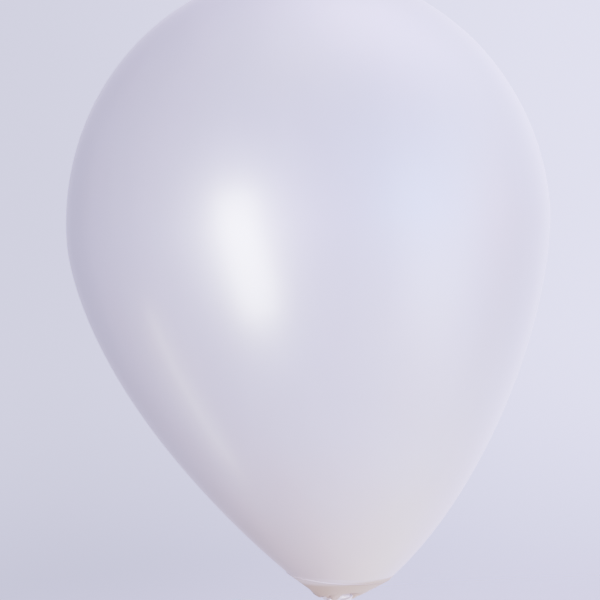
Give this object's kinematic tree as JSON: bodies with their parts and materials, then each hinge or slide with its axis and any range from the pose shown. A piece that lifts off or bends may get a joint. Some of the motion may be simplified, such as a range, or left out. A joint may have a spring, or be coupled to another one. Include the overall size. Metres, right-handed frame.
{
  "type": "latex balloon",
  "caption": "Tied latex balloon, round crown tapering to a thick neck funnel, with a twisting, bending overhand knot and a flapping flat tail ending in a rolled lip.",
  "frame": {"origin": "middle of the throat, where a tie, ribbon or cup holds the balloon", "axes": "+Z along the envelope's own axis towards the crown, +X to the right in a front view, front towards -Y; the neck leans 8.7 degrees from -Z towards -X"},
  "size_m": [0.28, 0.28, 0.409],
  "materials": {
    "pearl_film": "pearl, satin gloss",
    "neck_latex": "thick pearl latex, satin, warmer",
    "knot_latex": "creased pearl latex, glossy",
    "lip_latex": "unstretched pearl latex, satin"
  },
  "bodies": {
    "balloon": {"envelope": "pearl_film", "neck_funnel": "neck_latex"},
    "throat": {"neck_gather": "neck_latex"},
    "knot": {"knot": "knot_latex"},
    "tail_root": {"tail_root": "knot_latex"},
    "tail": {"tail": "lip_latex", "rolled_lip": "lip_latex"}
  },
  "joints": [
    {"name": "neck_twist", "type": "hinge", "parent": "balloon", "child": "throat", "pos_m": [0.00008, 0, 0.00054], "axis": [0.1513, 0, 0.9885], "range_deg": [-90, 90], "stiffness_Nm_per_rad": 0.0002},
    {"name": "neck_bend", "type": "hinge", "parent": "throat", "child": "knot", "pos_m": [0.00008, 0, 0.00054], "axis": [0, 1, 0], "range_deg": [-30, 30], "stiffness_Nm_per_rad": 0.0003},
    {"name": "tail_swing", "type": "hinge", "parent": "knot", "child": "tail_root", "pos_m": [-0.00294, 0, -0.01918], "axis": [0, 1, 0], "range_deg": [-35, 35], "stiffness_Nm_per_rad": 0.0001},
    {"name": "tail_flap", "type": "hinge", "parent": "tail_root", "child": "tail", "pos_m": [-0.00384, 0, -0.02511], "axis": [0.9885, 0, -0.1513], "range_deg": [-70, 70], "stiffness_Nm_per_rad": 0.00006}
  ]
}
